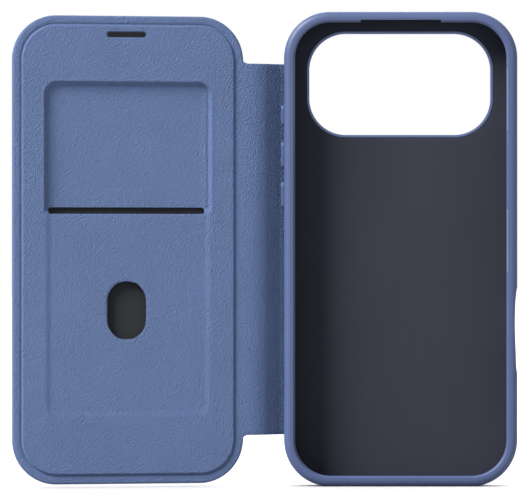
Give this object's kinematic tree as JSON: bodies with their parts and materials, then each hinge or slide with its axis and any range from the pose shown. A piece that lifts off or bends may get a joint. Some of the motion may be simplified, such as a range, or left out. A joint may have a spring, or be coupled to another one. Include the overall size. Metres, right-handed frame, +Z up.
{
  "type": "phone wallet case",
  "caption": "Folio case for a large phone: moulded bumper shell with side keys and a camera window, soft leather spine, and a padded front cover with a sunk card pocket.",
  "frame": {"origin": "middle of the open case's footprint, on the table it stands on", "axes": "+X from the cover towards the shell, +Y out of the shell's back, +Z up along the phone"},
  "size_m": [0.1784, 0.024, 0.168],
  "materials": {
    "bumper": "satin",
    "hard_plate": "matte",
    "microfibre": "soft nap",
    "leather_outer": "fine pebbled grain",
    "leather_inner": "fine pebbled grain",
    "guard": "anodised satin",
    "magnet": "nickel plated",
    "board": "matt",
    "steel": "rolled",
    "black_plastic": "matte",
    "mesh": "blackened"
  },
  "bodies": {
    "shell": {"bumper_frame": "bumper", "back_plate": "hard_plate", "bay_lining": "microfibre", "back_leather": "leather_outer", "camera_guard": "guard", "closure_magnets": "magnet"},
    "spine": {"spine_leather": "leather_outer", "spine_lining": "leather_inner", "spine_stiffener": "board"},
    "cover": {"cover_leather": "leather_outer", "cover_board": "board", "pocket_backing": "leather_inner", "pocket_frame_board": "board", "closure_strip": "steel", "cover_lining": "leather_inner", "earpiece_sleeve": "black_plastic", "earpiece_mesh": "mesh"},
    "action_button": {"action_button": "bumper"},
    "volume_up_button": {"volume_up_button": "bumper"},
    "volume_down_button": {"volume_down_button": "bumper"},
    "power_button": {"power_button": "bumper"}
  },
  "joints": [
    {"name": "shell_fold", "type": "hinge", "parent": "shell", "child": "spine", "pos_m": [0.00413, 0.00676, 0.084], "axis": [0, 0, 1], "range_deg": [-80.5, 79.5]},
    {"name": "cover_fold", "type": "hinge", "parent": "spine", "child": "cover", "pos_m": [-0.00667, 0.00476, 0.084], "axis": [0, 0, 1], "range_deg": [-110, 90]},
    {"name": "action_button_press", "type": "slide", "parent": "shell", "child": "action_button", "axis": [1, 0, 0], "range_m": [0, 0.0004], "stiffness_N_per_m": 600, "springref_m": -0.0004},
    {"name": "volume_up_button_press", "type": "slide", "parent": "shell", "child": "volume_up_button", "axis": [1, 0, 0], "range_m": [0, 0.0004], "stiffness_N_per_m": 600, "springref_m": -0.0004},
    {"name": "volume_down_button_press", "type": "slide", "parent": "shell", "child": "volume_down_button", "axis": [1, 0, 0], "range_m": [0, 0.0004], "stiffness_N_per_m": 600, "springref_m": -0.0004},
    {"name": "power_button_press", "type": "slide", "parent": "shell", "child": "power_button", "axis": [-1, 0, 0], "range_m": [0, 0.0004], "stiffness_N_per_m": 600, "springref_m": -0.0004}
  ]
}
